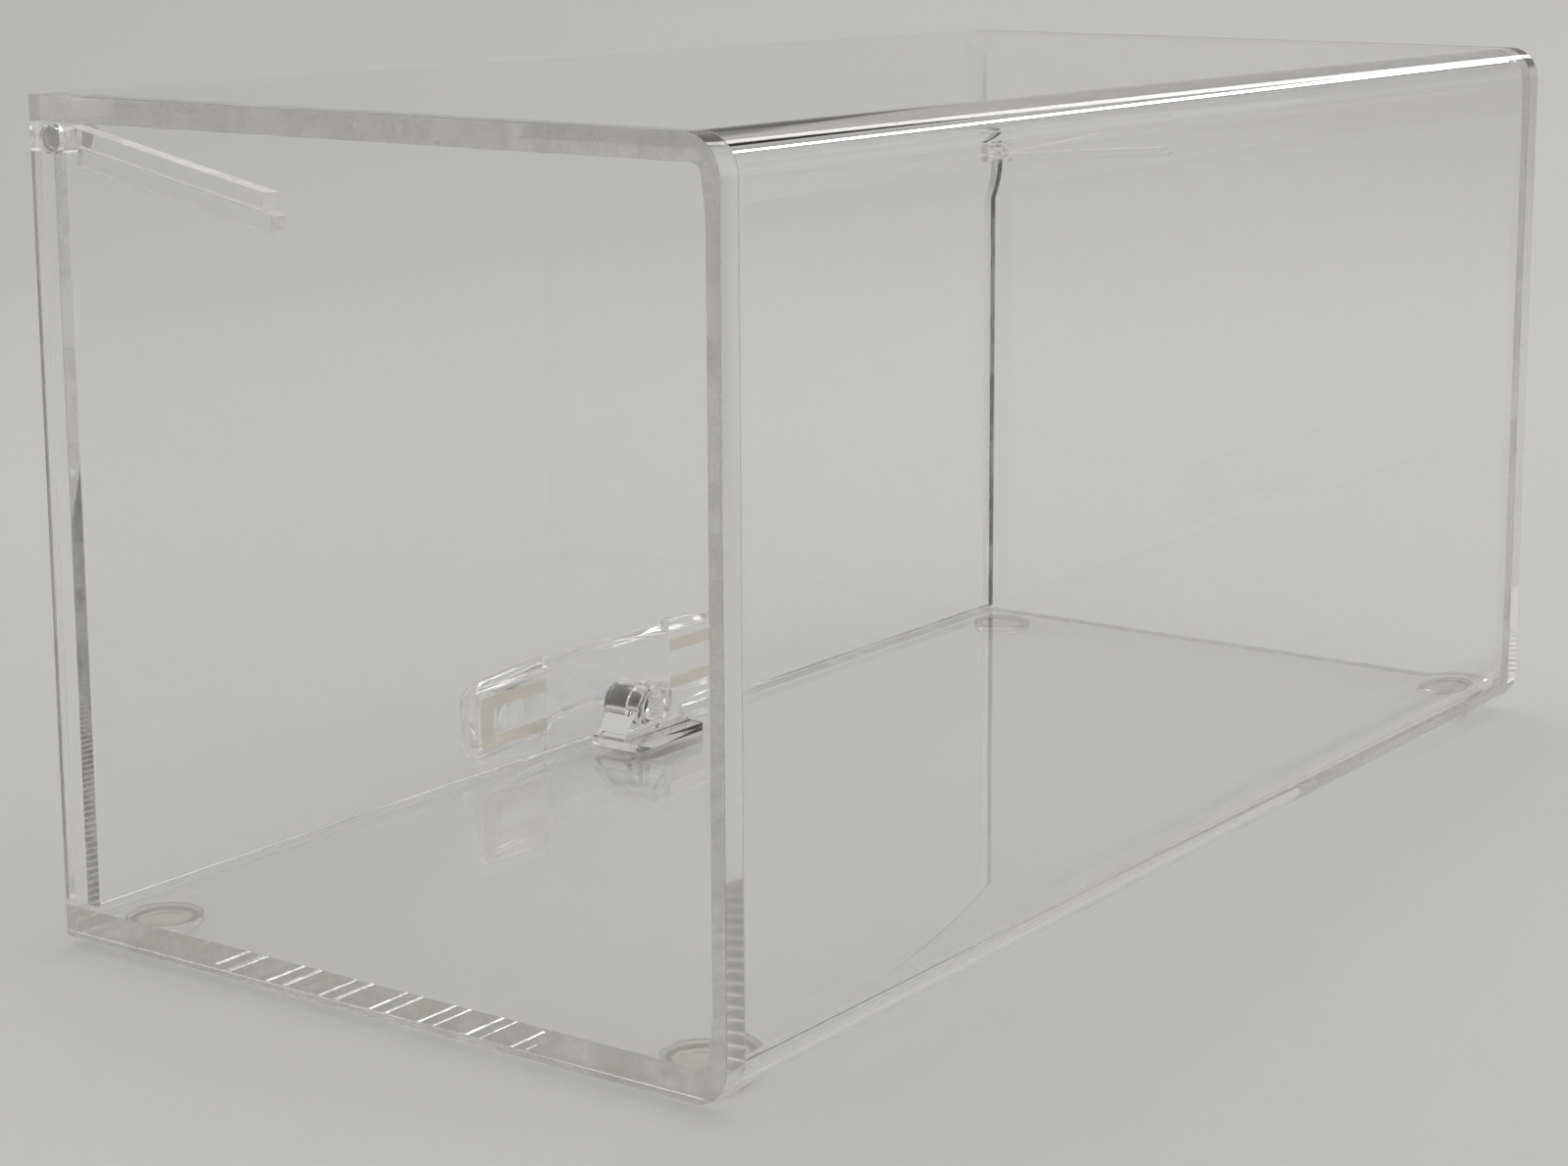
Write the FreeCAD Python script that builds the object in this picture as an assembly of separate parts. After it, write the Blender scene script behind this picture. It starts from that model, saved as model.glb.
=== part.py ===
import FreeCAD, Part
import math
import os

# A clear acrylic shoe box that stands with its door at the front.
# Frame: +X to the right seen from the front, +Y to the back, +Z up, millimetres.
# The origin is the centre of the bounding box's bottom, on the surface the feet stand on.

# ---- driving dimensions -------------------------------------------------------------------------

box_length = 305.0  # along X, over both end panels
box_width = 150.0  # along Y, front edge to back face, without the handle
box_height = 152.0  # along Z, without the feet
sheet = 4.8  # bent wrap and end panels
bend_inner_radius = 2.0  # inside of the two heat bends

door_sheet = 3.2
door_recess = 2.4  # front edge of the box to the door's outer face
door_side_gap = 0.6
door_bottom_gap = 0.6
door_top_gap = 0.8

pin_radius = 2.5
pin_insert = 3.0  # how far a pin enters its end panel
pin_end_gap = 0.2  # pin's tip to the bottom of its hole
pin_fit = 0.08  # radial running clearance
pin_top_gap = 0.4  # pin to the underside of the top sheet
pin_chamfer = 0.4
notch_width = 7.0  # along X, cut from each top corner of the door

rail_height = 3.4
rail_depth = 3.2  # along X, out from the end panel
rail_length = 47.0
rail_slope = 11.0  # degrees down towards the back
rail_step = 2.4  # the lower rail starts this far behind the upper one
rail_pin_gap = 0.45
rail_top_gap = 0.5

handle_length = 88.0
handle_height = 20.6  # across the inner ends of the pads
handle_end_height = 17.5  # across the outer ends of the pads
handle_bow_height = 16.0  # the bow where it runs out at the ends
handle_crown_height = 14.0
handle_projection = 12.0  # door's outer face to the crown of the bow
handle_end_thickness = 5.0
handle_bar = 4.4  # thickness of the bow at its crown
handle_pad = 23.0  # length of each glued pad
handle_flange = 2.2  # thickness of a pad where it is wider than the bow
handle_floor_gap = 0.5  # lowest point of the handle over the floor sheet
handle_end_round = 4.0  # corners seen from the front
handle_back_round = 2.0  # outer end, towards the door
handle_front_round = 2.6  # outer end, away from the door

tape = 0.4  # thickness of every adhesive strip
handle_tape_strip = 2.8
handle_tape_pitch = 8.5  # between the two strips
handle_tape_web = 3.4
handle_tape_margin = 0.3  # strip ends to the ends of the pad's flat face

barrel_radius = 5.8
barrel_length = 8.5
barrel_axis_height = 7.2  # over the floor sheet
barrel_counterbore_radius = 4.4
barrel_counterbore_depth = 1.2
barrel_through_radius = 2.8
base_width = 23.0
base_depth = 12.5
base_thickness = 1.8
base_corner_round = 0.8

magnet_radius = 3.9
magnet_length = 4.4
magnet_fit = 0.04
magnet_proud = 0.65  # stands out of the barrel's front face
magnet_edge_round = 0.3
strike_radius = 4.2
strike_thickness = 1.8
strike_edge_round = 0.3
catch_gap = 0.25  # closed door, strike to magnet

foot_radius = 7.0
foot_height = 2.0
foot_inset = 13.5  # foot's centre from the outer faces
foot_edge_round = 0.9

# ---- places worked out from them ----------------------------------------------------------------

x_outer = box_length / 2
x_inner = x_outer - sheet
handle_overhang = handle_projection - door_recess
y_front = (handle_overhang - box_width) / 2
y_back = y_front + box_width
z_bottom = foot_height
z_top = z_bottom + box_height
z_floor = z_bottom + sheet
z_ceiling = z_top - sheet
bend_outer_radius = bend_inner_radius + sheet

x_door = x_inner - door_side_gap
y_door_out = y_front + door_recess
y_door_in = y_door_out + door_sheet
z_door_low = z_floor + door_bottom_gap
z_door_high = z_ceiling - door_top_gap

y_pin = y_door_out + door_sheet / 2
z_pin = z_ceiling - pin_top_gap - pin_radius
x_pad = handle_length / 2 - handle_pad
z_handle = z_floor + handle_floor_gap + handle_height / 2
y_catch = y_door_in + strike_thickness + catch_gap + magnet_proud
z_catch = z_floor + barrel_axis_height


def box(x0, x1, y0, y1, z0, z1):
    """Return a box between two corners."""
    return Part.makeBox(x1 - x0, y1 - y0, z1 - z0, FreeCAD.Vector(x0, y0, z0))


def rod(radius, start, direction, length):
    """Return a cylinder from a start point along a direction."""
    return Part.makeCylinder(radius, length, FreeCAD.Vector(*start), FreeCAD.Vector(*direction))


def prism(outline, travel):
    """Return the solid that a closed planar wire sweeps along a straight travel."""
    return Part.Face(outline).extrude(FreeCAD.Vector(*travel))


def polygon(points):
    """Return a closed wire through the points."""
    corners = [FreeCAD.Vector(*point) for point in points]
    return Part.makePolygon(corners + corners[:1])


def side_block(x0, x1, y0, y1, z0, z1, back_radius):
    """Return a block whose two back edges, along X, are rounded."""
    block = box(x0, x1, y0, y1, z0, z1)
    back_edges = [
        edge
        for edge in block.Edges
        if abs(edge.BoundBox.XLength - (x1 - x0)) < 1e-6 and abs(edge.CenterOfMass.y - y1) < 1e-6
    ]
    return block.makeFillet(back_radius, back_edges)


def round_rims(solid, radius, normal, offset):
    """Round the rims of the planar faces that face along a normal at an offset."""
    axis = FreeCAD.Vector(*normal)
    rims = []
    for face in solid.Faces:
        if not isinstance(face.Surface, Part.Plane):
            continue
        if face.normalAt(0, 0).dot(axis) > 0.99 and abs(face.CenterOfMass.dot(axis) - offset) < 1e-6:
            rims += face.OuterWire.Edges
    return solid.makeFillet(radius, rims)


# ---- case ---------------------------------------------------------------------------------------


def wrap_shell():
    """One sheet bent twice into the top, back and floor."""
    outside = side_block(-x_inner, x_inner, y_front, y_back, z_bottom, z_top, bend_outer_radius)
    inside = side_block(
        -x_inner, x_inner, y_front - sheet, y_back - sheet, z_floor, z_ceiling, bend_inner_radius
    )
    return outside.cut(inside)


def end_panel(side):
    """The outline of the bent sheet, glued over its open end, with a blind hole for a pin."""
    inner, outer = side * x_inner, side * x_outer
    panel = side_block(
        min(inner, outer), max(inner, outer), y_front, y_back, z_bottom, z_top, bend_outer_radius
    )
    depth = pin_insert + pin_end_gap
    return panel.cut(rod(pin_radius + pin_fit, (inner, y_pin, z_pin), (side, 0, 0), depth))


def rail(side, row):
    """A square strip on an end panel behind the pin, sloping down to the back. Row 0 is on top."""
    slope = math.radians(rail_slope)
    along = FreeCAD.Vector(0, math.cos(slope), -math.sin(slope))
    down = FreeCAD.Vector(0, -math.sin(slope), -math.cos(slope))
    pin_axis = FreeCAD.Vector(0, y_pin, z_pin)
    start = pin_radius + rail_pin_gap
    drop = z_pin + along.z * start - (z_ceiling - rail_top_gap)
    top_corner = pin_axis + along * start + down * (drop / math.cos(slope))
    corner = top_corner + along * (rail_step * row) + down * (rail_height * row)
    points = [
        corner,
        corner + along * rail_length,
        corner + along * rail_length + down * rail_height,
        corner + down * rail_height,
    ]
    outline = polygon([(side * x_inner, point.y, point.z) for point in points])
    return prism(outline, (-side * rail_depth, 0, 0))


def catch_bracket():
    """A barrel on a splayed leg with a base plate that is glued to the floor."""
    y0, y1 = y_catch, y_catch + barrel_length
    z_base = z_floor + tape
    barrel = rod(barrel_radius, (0, y0, z_catch), (0, 1, 0), barrel_length)
    plate = box(-base_width / 2, base_width / 2, y0, y0 + base_depth, z_base, z_base + base_thickness)
    corners = [
        edge
        for edge in plate.Edges
        if edge.BoundBox.ZLength > base_thickness / 2 and edge.CenterOfMass.y > y1
    ]
    plate = plate.makeFillet(base_corner_round, corners)

    half = base_width / 2
    fall = z_catch - (z_base + base_thickness)
    reach = math.hypot(half, fall)
    touch = math.atan2(half, -fall) - math.acos(barrel_radius / reach)
    touch_x, touch_z = barrel_radius * math.sin(touch), z_catch + barrel_radius * math.cos(touch)
    leg_outline = polygon(
        [
            (-half, y0, z_base + base_thickness),
            (half, y0, z_base + base_thickness),
            (touch_x, y0, touch_z),
            (-touch_x, y0, touch_z),
        ]
    )
    bracket = barrel.fuse([plate, prism(leg_outline, (0, barrel_length, 0))]).removeSplitter()

    pocket = magnet_length - magnet_proud
    bores = [
        rod(magnet_radius + magnet_fit, (0, y0, z_catch), (0, 1, 0), pocket),
        rod(barrel_through_radius, (0, y0, z_catch), (0, 1, 0), barrel_length),
        rod(barrel_counterbore_radius, (0, y1, z_catch), (0, -1, 0), barrel_counterbore_depth),
    ]
    return bracket.cut(bores)


def catch_magnet():
    """A round magnet in the barrel's front bore, standing a little proud."""
    y0 = y_catch - magnet_proud
    magnet = rod(magnet_radius, (0, y0, z_catch), (0, 1, 0), magnet_length)
    return round_rims(magnet, magnet_edge_round, (0, -1, 0), -y0)


def catch_tape():
    """The adhesive pad under the bracket's base plate."""
    half = base_width / 2
    return box(-half, half, y_catch, y_catch + base_depth - base_corner_round, z_floor, z_floor + tape)


def foot(side, end):
    """A clear round bumper under one corner."""
    x = side * (x_outer - foot_inset)
    y = (y_back - foot_inset) if end > 0 else (y_front + foot_inset)
    bumper = rod(foot_radius, (x, y, 0), (0, 0, 1), foot_height)
    return round_rims(bumper, foot_edge_round, (0, 0, -1), 0)


# ---- door ---------------------------------------------------------------------------------------


def door_panel():
    """The flat door, notched at both top corners for the pins."""
    panel = box(-x_door, x_door, y_door_out, y_door_in, z_door_low, z_door_high)
    for side in (-1, 1):
        x_cut, x_end = side * (x_door - notch_width), side * (x_door + door_side_gap)
        panel = panel.cut(
            box(
                min(x_cut, x_end),
                max(x_cut, x_end),
                y_front,
                y_door_in + door_recess,
                z_pin - pin_radius,
                z_ceiling,
            )
        )
    return panel


def pivot_pin(side):
    """A round pin glued into a notch of the door, turning in the end panel's blind hole."""
    start = side * (x_door - notch_width)
    length = notch_width + door_side_gap + pin_insert
    pin = rod(pin_radius, (start, y_pin, z_pin), (side, 0, 0), length)
    tip = [edge for edge in pin.Edges if abs(edge.CenterOfMass.x - (start + side * length)) < 1e-6]
    return pin.makeChamfer(pin_chamfer, tip)


def arc(start, middle, end):
    """Return the edge of a circular arc through three points."""
    return Part.Arc(FreeCAD.Vector(*start), FreeCAD.Vector(*middle), FreeCAD.Vector(*end)).toShape()


def line(start, end):
    """Return a straight edge."""
    return Part.makeLine(FreeCAD.Vector(*start), FreeCAD.Vector(*end))


def outline_prism(edges, y0, y1):
    """Return the prism along Y of a front outline, its corners at the handle's ends rounded."""
    solid = prism(Part.Wire(edges), (0, y1 - y0, 0))
    corners = [
        edge
        for edge in solid.Edges
        if abs(abs(edge.CenterOfMass.x) - handle_length / 2) < 1e-6 and edge.BoundBox.YLength > 1
    ]
    return solid.makeFillet(handle_end_round, corners)


def bow_blank():
    """The handle's plan: an arc outside, a tighter arc inside, rounded outer ends, full height."""
    half = handle_length / 2
    y_pad = y_door_out - tape
    y_crown = y_door_out - handle_projection
    y_end = y_pad - handle_end_thickness
    z0 = z_handle - handle_height / 2
    plan = Part.Wire(
        [
            arc((-half, y_end, z0), (0, y_crown, z0), (half, y_end, z0)),
            line((half, y_end, z0), (half, y_pad, z0)),
            line((half, y_pad, z0), (x_pad, y_pad, z0)),
            arc((x_pad, y_pad, z0), (0, y_crown + handle_bar, z0), (-x_pad, y_pad, z0)),
            line((-x_pad, y_pad, z0), (-half, y_pad, z0)),
            line((-half, y_pad, z0), (-half, y_end, z0)),
        ]
    )
    blank = prism(plan, (0, 0, handle_height))
    for y, radius in ((y_pad, handle_back_round), (y_end, handle_front_round)):
        ends = [
            edge
            for edge in blank.Edges
            if abs(abs(edge.CenterOfMass.x) - half) < 1e-6 and abs(edge.CenterOfMass.y - y) < 1e-6
        ]
        blank = blank.makeFillet(radius, ends)
    return blank


def bow(y0):
    """Return the prism of the bow's front outline, drawn in to a narrower crown."""
    half = handle_length / 2
    low, high = z_handle - handle_bow_height / 2, z_handle + handle_bow_height / 2
    crown_low, crown_high = z_handle - handle_crown_height / 2, z_handle + handle_crown_height / 2
    return outline_prism(
        [
            arc((-half, y0, high), (0, y0, crown_high), (half, y0, high)),
            line((half, y0, high), (half, y0, low)),
            arc((half, y0, low), (0, y0, crown_low), (-half, y0, low)),
            line((-half, y0, low), (-half, y0, high)),
        ],
        y0,
        y_door_out,
    )


def pad(side):
    """Return the prism of one pad's front outline, which tapers to its outer end."""
    y1 = y_door_out - tape
    y0 = y1 - handle_flange
    out, inner = side * handle_length / 2, side * x_pad
    end, wide = handle_end_height / 2, handle_height / 2
    return outline_prism(
        [
            line((inner, y0, z_handle - wide), (out, y0, z_handle - end)),
            line((out, y0, z_handle - end), (out, y0, z_handle + end)),
            line((out, y0, z_handle + end), (inner, y0, z_handle + wide)),
            line((inner, y0, z_handle + wide), (inner, y0, z_handle - wide)),
        ],
        y0,
        y1,
    )


def door_handle():
    """A bow handle: a bow that is drawn in at its crown, on two wider, tapered pads."""
    blank = bow_blank()
    body = blank.common(bow(y_door_out - handle_projection - handle_bar))
    return body.fuse([blank.common(pad(side)) for side in (-1, 1)]).removeSplitter()


def handle_tape(side):
    """Adhesive under one pad: two strips, joined at the handle's outer end."""
    x_out = handle_length / 2 - handle_back_round - handle_tape_margin
    x_in = x_pad + handle_tape_margin
    y0, y1 = y_door_out - tape, y_door_out
    reach = handle_tape_pitch / 2 + handle_tape_strip / 2
    web = side * (x_out - handle_tape_web)
    strips = [
        box(
            min(side * x_in, side * x_out),
            max(side * x_in, side * x_out),
            y0,
            y1,
            z_handle + row * handle_tape_pitch / 2 - handle_tape_strip / 2,
            z_handle + row * handle_tape_pitch / 2 + handle_tape_strip / 2,
        )
        for row in (-1, 1)
    ]
    joint = box(min(web, side * x_out), max(web, side * x_out), y0, y1, z_handle - reach, z_handle + reach)
    return joint.fuse(strips).removeSplitter()


def strike_disc():
    """A steel disc on the door's inner face, opposite the magnet."""
    disc = rod(strike_radius, (0, y_door_in, z_catch), (0, 1, 0), strike_thickness)
    return round_rims(disc, strike_edge_round, (0, 1, 0), y_door_in + strike_thickness)


# ---- assembly -----------------------------------------------------------------------------------

nodes = {
    "wrap_shell": wrap_shell(),
    "door_panel": door_panel(),
    "door_handle": door_handle(),
    "strike_disc": strike_disc(),
    "catch_bracket": catch_bracket(),
    "catch_magnet": catch_magnet(),
    "catch_tape": catch_tape(),
}
for side, hand in ((1, "right"), (-1, "left")):
    nodes[f"{hand}_end_panel"] = end_panel(side)
    nodes[f"{hand}_pivot_pin"] = pivot_pin(side)
    nodes[f"{hand}_handle_tape"] = handle_tape(side)
    nodes[f"{hand}_upper_rail"] = rail(side, 0)
    nodes[f"{hand}_lower_rail"] = rail(side, 1)
    nodes[f"front_{hand}_foot"] = foot(side, -1)
    nodes[f"back_{hand}_foot"] = foot(side, 1)

os.makedirs("parts", exist_ok=True)
for name, shape in nodes.items():
    shape.exportStep(f"parts/{name}.step")
    print(name, "solids", len(shape.Solids), "valid", shape.isValid(), "volume", round(shape.Volume, 2))
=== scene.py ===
"""A clear acrylic drop-front shoe box: cast sheet, sawn and glued edges, moulded handle and catch."""

import logging
import math
from collections.abc import Callable, Sequence
from dataclasses import dataclass
from enum import Enum

import bmesh
import bpy
from mathutils import Matrix, Vector


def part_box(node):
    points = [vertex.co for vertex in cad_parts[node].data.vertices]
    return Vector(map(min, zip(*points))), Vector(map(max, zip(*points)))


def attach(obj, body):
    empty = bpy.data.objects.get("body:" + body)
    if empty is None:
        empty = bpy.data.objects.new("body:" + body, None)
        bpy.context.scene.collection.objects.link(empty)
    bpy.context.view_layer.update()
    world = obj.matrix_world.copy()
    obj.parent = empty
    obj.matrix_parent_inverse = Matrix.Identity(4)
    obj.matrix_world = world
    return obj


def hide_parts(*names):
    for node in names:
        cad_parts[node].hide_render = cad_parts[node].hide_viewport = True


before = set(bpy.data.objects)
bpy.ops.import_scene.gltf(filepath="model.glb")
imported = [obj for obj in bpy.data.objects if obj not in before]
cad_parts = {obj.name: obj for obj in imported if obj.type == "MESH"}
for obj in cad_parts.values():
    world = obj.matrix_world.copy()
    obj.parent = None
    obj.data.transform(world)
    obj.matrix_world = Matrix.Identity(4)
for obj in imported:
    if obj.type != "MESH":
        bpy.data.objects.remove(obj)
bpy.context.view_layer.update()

MM = 0.001
LOG = logging.getLogger("shoe_box")

Outline = list[tuple[float, float]]
Corner = tuple[float, float, float]


class Axis(Enum):
    """The direction a profile is swept or turned along."""

    X = 0
    Y = 1
    Z = 2


class Hand(Enum):
    """The two ends of the box, seen from the front."""

    LEFT = -1
    RIGHT = 1

    @property
    def word(self) -> str:
        """The hand as it stands in a node's name."""
        return self.name.lower()


class Row(Enum):
    """The two strips of a rail pair, from the top."""

    UPPER = 0
    LOWER = 1

    @property
    def word(self) -> str:
        """The row as it stands in a node's name."""
        return self.name.lower()


class Join(Enum):
    """How two solids become one."""

    UNION = "UNION"
    CUT = "DIFFERENCE"


# ---- colour and nodes ---------------------------------------------------------------------------


def linear(colour: str, alpha: float = 1.0) -> tuple[float, float, float, float]:
    """Turn an sRGB hex colour to linear.

    Args:
        colour: Six hex digits after a hash.
        alpha: The fourth value.

    Returns:
        Red, green, blue and alpha for a node's socket.
    """
    channels = [int(colour[i : i + 2], 16) / 255 for i in (1, 3, 5)]
    red, green, blue = [c / 12.92 if c <= 0.04045 else ((c + 0.055) / 1.055) ** 2.4 for c in channels]
    return red, green, blue, alpha


def add(
    material: bpy.types.Material | bpy.types.World,
    kind: str,
    values: dict[str | int, object] | None = None,
    links: dict[str | int, bpy.types.NodeSocket] | None = None,
    **settings: object,
) -> bpy.types.Node:
    """Add a node with its settings, values and links.

    Args:
        material: The material or world whose tree gets the node.
        kind: The node's type name, after "ShaderNode".
        values: Default values by input.
        links: Sources by input.
        **settings: Properties of the node itself.

    Returns:
        The new node.
    """
    tree = material.node_tree
    node = tree.nodes.new(f"ShaderNode{kind}")
    for name, setting in settings.items():
        setattr(node, name, setting)
    for socket, value in (values or {}).items():
        node.inputs[socket].default_value = value
    for socket, source in (links or {}).items():
        tree.links.new(source, node.inputs[socket])
    return node


@dataclass(frozen=True)
class Finish:
    """What a surface is made of and how it was made."""

    name: str

    def material(self) -> bpy.types.Material:
        """Find the finish's material, or make it on first use.

        Returns:
            The material.
        """
        found = bpy.data.materials.get(self.name)
        if found:
            return found
        material = bpy.data.materials.new(self.name)
        material.use_nodes = True
        material.node_tree.nodes.clear()
        shader = self.shader(material)
        add(material, "OutputMaterial", links={"Surface": shader})
        return material

    def shader(self, material: bpy.types.Material) -> bpy.types.NodeSocket:
        """Build the finish's nodes.

        Args:
            material: The material whose tree gets them.

        Returns:
            The surface shader's output.
        """
        raise NotImplementedError

    @staticmethod
    def place(material: bpy.types.Material) -> bpy.types.NodeSocket:
        """Return the object's own coordinates, in metres."""
        return add(material, "TexCoord").outputs["Object"]


@dataclass(frozen=True)
class ClearPlastic(Finish):
    """Clear plastic that bends light and lets lamps through to what is behind it."""

    tint: str = "#FEFEFE"
    ior: float = 1.491
    roughness: float = 0.0
    wave_mm: float = 45.0
    wave_depth_mm: float = 0.004
    pass_light: str = "#FFFFFF"
    edge_light: str = "#F8F8F6"

    def shader(self, material: bpy.types.Material) -> bpy.types.NodeSocket:
        """Clear body with a slow ripple, and a see-through stand-in for shadow rays.

        Args:
            material: The material whose tree gets the nodes.

        Returns:
            The surface shader's output.
        """
        place = self.place(material)
        ripple = add(
            material,
            "TexNoise",
            values={"Scale": 1 / (self.wave_mm * MM), "Detail": 1.0, "Roughness": 0.4},
            links={"Vector": place},
        )
        bump = add(
            material,
            "Bump",
            values={"Strength": 1.0, "Distance": self.wave_depth_mm * MM},
            links={"Height": ripple.outputs["Fac"]},
        )
        body = add(
            material,
            "BsdfPrincipled",
            values={
                "Base Color": linear(self.tint),
                "Roughness": self.roughness,
                "IOR": self.ior,
                "Transmission Weight": 1.0,
            },
            links={"Normal": bump.outputs["Normal"]},
        )
        grazing = add(material, "LayerWeight", values={"Blend": 0.35})
        dimmed = add(
            material,
            "Mix",
            values={6: linear(self.pass_light), 7: linear(self.edge_light)},
            links={0: grazing.outputs["Facing"]},
            data_type="RGBA",
        )
        clear = add(material, "BsdfTransparent", links={"Color": dimmed.outputs[2]})
        path = add(material, "LightPath")
        mix = add(
            material,
            "MixShader",
            links={
                0: path.outputs["Is Shadow Ray"],
                1: body.outputs["BSDF"],
                2: clear.outputs["BSDF"],
            },
        )
        return mix.outputs["Shader"]


@dataclass(frozen=True)
class SawnEdge(Finish):
    """The saw-cut edge of acrylic sheet: a matt veil, with the teeth's fine steps across it.

    The veil hides a share of what is behind it, and another share where the edge is welded to the floor.
    """

    light: str = "#FAF3ED"
    dark: str = "#E4DAD3"
    cover: float = 0.36
    weld_cover: float = 0.36
    weld_top_mm: float = 12.0
    step_mm: float = 1.4
    cloud_mm: float = 9.0

    def shader(self, material: bpy.types.Material) -> bpy.types.NodeSocket:
        """Dull grey with cloudy glue and saw steps.

        Args:
            material: The material whose tree gets the nodes.

        Returns:
            The surface shader's output.
        """
        place = self.place(material)
        cloud = add(
            material,
            "TexNoise",
            values={"Scale": 1 / (self.cloud_mm * MM), "Detail": 6.0, "Roughness": 0.6},
            links={"Vector": place},
        )
        colour = add(
            material,
            "Mix",
            values={6: linear(self.dark), 7: linear(self.light)},
            links={0: cloud.outputs["Fac"]},
            data_type="RGBA",
        )
        steps = add(
            material,
            "TexNoise",
            values={"Scale": 1 / (self.step_mm * MM), "Detail": 3.0},
            links={"Vector": place},
        )
        bump = add(
            material,
            "Bump",
            values={"Strength": 0.5, "Distance": 0.06 * MM},
            links={"Height": steps.outputs["Fac"]},
        )
        height = add(material, "SeparateXYZ", links={0: place})
        base = add(
            material,
            "MapRange",
            values={
                "From Min": 0.6 * self.weld_top_mm * MM,
                "From Max": self.weld_top_mm * MM,
                "To Min": self.weld_cover,
                "To Max": self.cover,
            },
            links={"Value": height.outputs["Z"]},
            interpolation_type="SMOOTHSTEP",
        )
        patch = add(
            material,
            "MapRange",
            values={"From Min": 0.38, "From Max": 0.62, "To Min": 0.7, "To Max": 1.2},
            links={"Value": cloud.outputs["Fac"]},
            interpolation_type="SMOOTHSTEP",
        )
        cover = add(
            material,
            "Math",
            links={0: base.outputs["Result"], 1: patch.outputs["Result"]},
            operation="MULTIPLY",
            use_clamp=True,
        )
        body = add(
            material,
            "BsdfPrincipled",
            values={"Roughness": 0.55, "IOR": 1.491},
            links={
                "Base Color": colour.outputs[2],
                "Normal": bump.outputs["Normal"],
                "Alpha": cover.outputs["Value"],
            },
        )
        return body.outputs["BSDF"]


@dataclass(frozen=True)
class AdhesiveFilm(Finish):
    """Double-sided tape squeezed under clear plastic: tan, with trapped bubbles that show paler."""

    colour: str = "#F2E6D5"
    bubble: str = "#FBF5EB"
    bubble_mm: float = 0.9
    cover: float = 0.4

    def shader(self, material: bpy.types.Material) -> bpy.types.NodeSocket:
        """Dull tan film that lets part of the light through.

        Args:
            material: The material whose tree gets the nodes.

        Returns:
            The surface shader's output.
        """
        place = self.place(material)
        cells = add(
            material,
            "TexVoronoi",
            values={"Scale": 1 / (self.bubble_mm * MM)},
            links={"Vector": place},
        )
        wet = add(
            material,
            "ValToRGB",
            links={"Fac": cells.outputs["Distance"]},
        )
        wet.color_ramp.elements[0].position = 0.12
        wet.color_ramp.elements[0].color = linear(self.bubble)
        wet.color_ramp.elements[1].position = 0.5
        wet.color_ramp.elements[1].color = linear(self.colour)
        body = add(
            material,
            "BsdfPrincipled",
            values={"Roughness": 0.6, "Alpha": self.cover},
            links={"Base Color": wet.outputs["Color"]},
        )
        return body.outputs["BSDF"]


@dataclass(frozen=True)
class PlatedMetal(Finish):
    """Plated steel with the lathe's turning marks under the plate."""

    colour: str = "#B4B1AB"
    roughness: float = 0.16
    grain_mm: float = 0.5

    def shader(self, material: bpy.types.Material) -> bpy.types.NodeSocket:
        """Bright metal with a fine grain in its gloss.

        Args:
            material: The material whose tree gets the nodes.

        Returns:
            The surface shader's output.
        """
        place = self.place(material)
        grain = add(
            material,
            "TexNoise",
            values={"Scale": 1 / (self.grain_mm * MM), "Detail": 4.0},
            links={"Vector": place},
        )
        gloss = add(
            material,
            "MapRange",
            values={"To Min": self.roughness * 0.7, "To Max": self.roughness * 1.5},
            links={"Value": grain.outputs["Fac"]},
        )
        body = add(
            material,
            "BsdfPrincipled",
            values={"Base Color": linear(self.colour), "Metallic": 1.0},
            links={"Roughness": gloss.outputs["Result"]},
        )
        return body.outputs["BSDF"]


@dataclass(frozen=True)
class PaintedSweep(Finish):
    """Emulsion on a smooth studio sweep: dull, with the faintest cloudiness."""

    colour: str = "#D3D3D1"
    cloud: str = "#CECECC"
    cloud_mm: float = 420.0

    def shader(self, material: bpy.types.Material) -> bpy.types.NodeSocket:
        """Plain pale paint.

        Args:
            material: The material whose tree gets the nodes.

        Returns:
            The surface shader's output.
        """
        place = self.place(material)
        cloud = add(
            material,
            "TexNoise",
            values={"Scale": 1 / (self.cloud_mm * MM), "Detail": 3.0},
            links={"Vector": place},
        )
        shade = add(
            material,
            "Mix",
            values={6: linear(self.colour), 7: linear(self.cloud)},
            links={0: cloud.outputs["Fac"]},
            data_type="RGBA",
        )
        body = add(
            material,
            "BsdfPrincipled",
            values={"Roughness": 0.85},
            links={"Base Color": shade.outputs[2]},
        )
        return body.outputs["BSDF"]


# Cast sheet is all but flat: crisp mirror images in its faces, and a slow drift in what shows through.
SHEET = ClearPlastic("cast acrylic sheet, polished")
# A mould's flow leaves shorter waves, so glints along the handle and the bracket break up.
MOULDED = ClearPlastic("acrylic, injection moulded", wave_mm=9.0)
# Soft cast bumpers are a touch warmer and hazier than the sheet, and show as faint rings through the floor.
BUMPER = ClearPlastic(
    "polyurethane bumper, cast", tint="#FBFAF6", ior=1.5, roughness=0.03, wave_mm=5.0, pass_light="#F2F1EC"
)
# A scraped rim stays clear but softens what it mirrors, so edges glow rather than flash.
GROUND_RIM = ClearPlastic("acrylic rim, scraped", roughness=0.09, wave_mm=12.0, wave_depth_mm=0.008)
# A sawn edge behind clear glue reads as a dull grey-pink band with cloudy patches.
# The saw's steps are drawn 1.4 mm apart; real teeth leave marks of a few tenths, too fine to show.
SAWN = SawnEdge("acrylic edge, sawn and glued", cover=0.34, weld_cover=0.5)
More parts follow.
